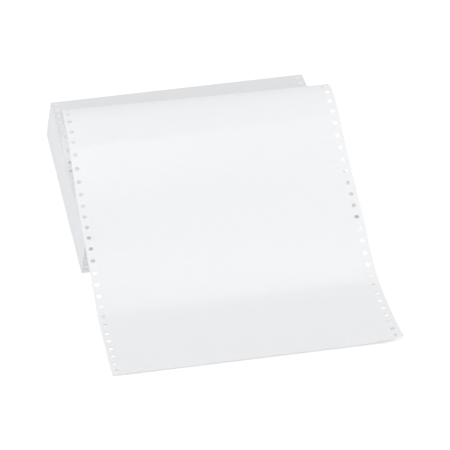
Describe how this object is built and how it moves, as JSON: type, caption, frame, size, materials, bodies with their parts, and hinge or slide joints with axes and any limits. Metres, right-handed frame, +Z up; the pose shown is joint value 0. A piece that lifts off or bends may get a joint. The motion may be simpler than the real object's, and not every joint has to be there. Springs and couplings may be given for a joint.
{
  "type": "fanfold continuous form paper",
  "caption": "Low fanfold stack of blank continuous form paper with its top form drawn over in a curl and laid out in front, feed holes along both sides.",
  "frame": {"origin": "bottom centre of the bounding box of stack and drawn strip, on the table", "axes": "+X across the forms to the right, +Y from the free front edge towards the back of the stack, +Z up from the table"},
  "size_m": [0.247, 0.4596, 0.095],
  "materials": {
    "paper": "matt uncoated white bond"
  },
  "bodies": {
    "root": {"fanfold_web": "paper"}
  },
  "joints": []
}
